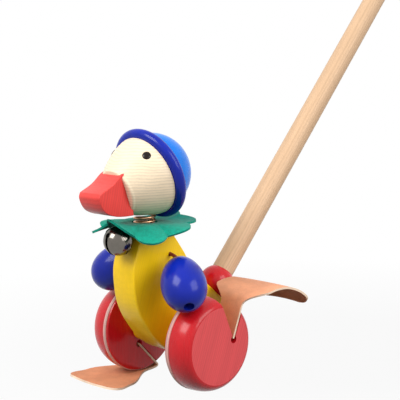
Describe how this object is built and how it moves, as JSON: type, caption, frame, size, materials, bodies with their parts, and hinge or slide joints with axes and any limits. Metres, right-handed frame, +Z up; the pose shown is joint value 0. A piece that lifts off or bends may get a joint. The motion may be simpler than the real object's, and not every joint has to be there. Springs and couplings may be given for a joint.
{
  "type": "wooden push-along duck",
  "caption": "Wooden push-along duck on two wheels with leather slapping feet, a head on a spring, swinging wings, a bell at the neck and a long push stick.",
  "frame": {"origin": "on the floor, below the middle of the toy's plan, stick included", "axes": "+Z up, the duck faces -Y, +X is the duck's left"},
  "size_m": [0.1264, 0.4232, 0.4212],
  "materials": {
    "yellow_stain": "yellow stained and lacquered beech, satin",
    "beech": "plain beech, oiled, satin",
    "red_stain": "red stained and lacquered beech, satin to gloss",
    "maple": "pale maple, oiled, satin",
    "dark_stain": "dark stained wood, gloss",
    "blue_lacquer": "dark blue lacquered wood, gloss",
    "light_blue_lacquer": "light blue lacquered wood, gloss",
    "pale_rubber": "pale pinkish beige rubber, matt",
    "tan_leather": "vegetable tanned leather, matt, bare cut edges",
    "green_felt": "teal green felt, matt",
    "coppered_wire": "coppered spring wire",
    "nickel": "nickel plated sheet steel, polished",
    "red_cord": "red brown twisted cord, matt"
  },
  "bodies": {
    "body": {"body_plate": "yellow_stain", "push_stick": "beech", "tail_ball": "red_stain", "neck_peg": "beech", "collar": "green_felt", "bell_staple": "nickel"},
    "wheels": {"axle": "beech", "axle_spacer_left": "yellow_stain", "axle_spacer_right": "yellow_stain", "wheel_left": "red_stain", "wheel_right": "red_stain", "tyre_left": "pale_rubber", "tyre_right": "pale_rubber", "foot_left": "tan_leather", "foot_right": "tan_leather"},
    "neck": {"neck_spring": "coppered_wire"},
    "head": {"head": "maple", "head_peg": "beech", "beak": "red_stain", "beak_dowel": "beech", "eye_left": "dark_stain", "eye_right": "dark_stain", "cap_brim": "blue_lacquer", "cap_crown": "light_blue_lacquer"},
    "cord_left": {"wing_cord_left": "red_cord"},
    "wing_left": {"wing_left": "blue_lacquer", "wing_knot_left": "red_cord"},
    "cord_right": {"wing_cord_right": "red_cord"},
    "wing_right": {"wing_right": "blue_lacquer", "wing_knot_right": "red_cord"},
    "bell": {"bell_loop": "nickel", "bell_upper_shell": "nickel", "bell_lower_shell": "nickel"},
    "pellet": {"bell_pellet": "nickel"}
  },
  "joints": [
    {"name": "wheel_spin", "type": "hinge", "parent": "body", "child": "wheels", "pos_m": [-0.00427, -0.14322, 0.03393], "axis": [1, 0, 0], "continuous": true, "deforming": ["foot_left", "foot_right"]},
    {"name": "head_nod", "type": "hinge", "parent": "body", "child": "neck", "pos_m": [-0.00427, -0.16553, 0.11613], "axis": [1, 0, 0], "range_deg": [-5, 4], "stiffness_Nm_per_rad": 0.6, "deforming": ["neck_spring", "collar"]},
    {"name": "head_sway", "type": "hinge", "parent": "neck", "child": "head", "pos_m": [-0.00427, -0.16553, 0.11613], "axis": [0, 1, 0], "range_deg": [-8, 8], "stiffness_Nm_per_rad": 0.6, "deforming": ["neck_spring", "collar"]},
    {"name": "wing_left_swing", "type": "hinge", "parent": "body", "child": "cord_left", "pos_m": [0.00673, -0.15263, 0.09193], "axis": [1, 0, 0], "range_deg": [-35, 0], "deforming": ["wing_cord_left", "collar"]},
    {"name": "wing_left_flap", "type": "hinge", "parent": "cord_left", "child": "wing_left", "pos_m": [0.00673, -0.15263, 0.09193], "axis": [0, -1, 0], "range_deg": [0, 18], "deforming": ["wing_cord_left", "collar"]},
    {"name": "wing_right_swing", "type": "hinge", "parent": "body", "child": "cord_right", "pos_m": [-0.01527, -0.15263, 0.09193], "axis": [1, 0, 0], "range_deg": [-35, 0], "deforming": ["wing_cord_right", "collar"]},
    {"name": "wing_right_flap", "type": "hinge", "parent": "cord_right", "child": "wing_right", "pos_m": [-0.01527, -0.15263, 0.09193], "axis": [0, 1, 0], "range_deg": [0, 18], "deforming": ["wing_cord_right", "collar"]},
    {"name": "bell_swing", "type": "hinge", "parent": "body", "child": "bell", "pos_m": [-0.00127, -0.17983, 0.11023], "axis": [1, 0, 0], "range_deg": [-4, 0], "deforming": ["collar"]},
    {"name": "pellet_rattle", "type": "slide", "parent": "bell", "child": "pellet", "axis": [0, 0, 1], "range_m": [0, 0.004]}
  ]
}
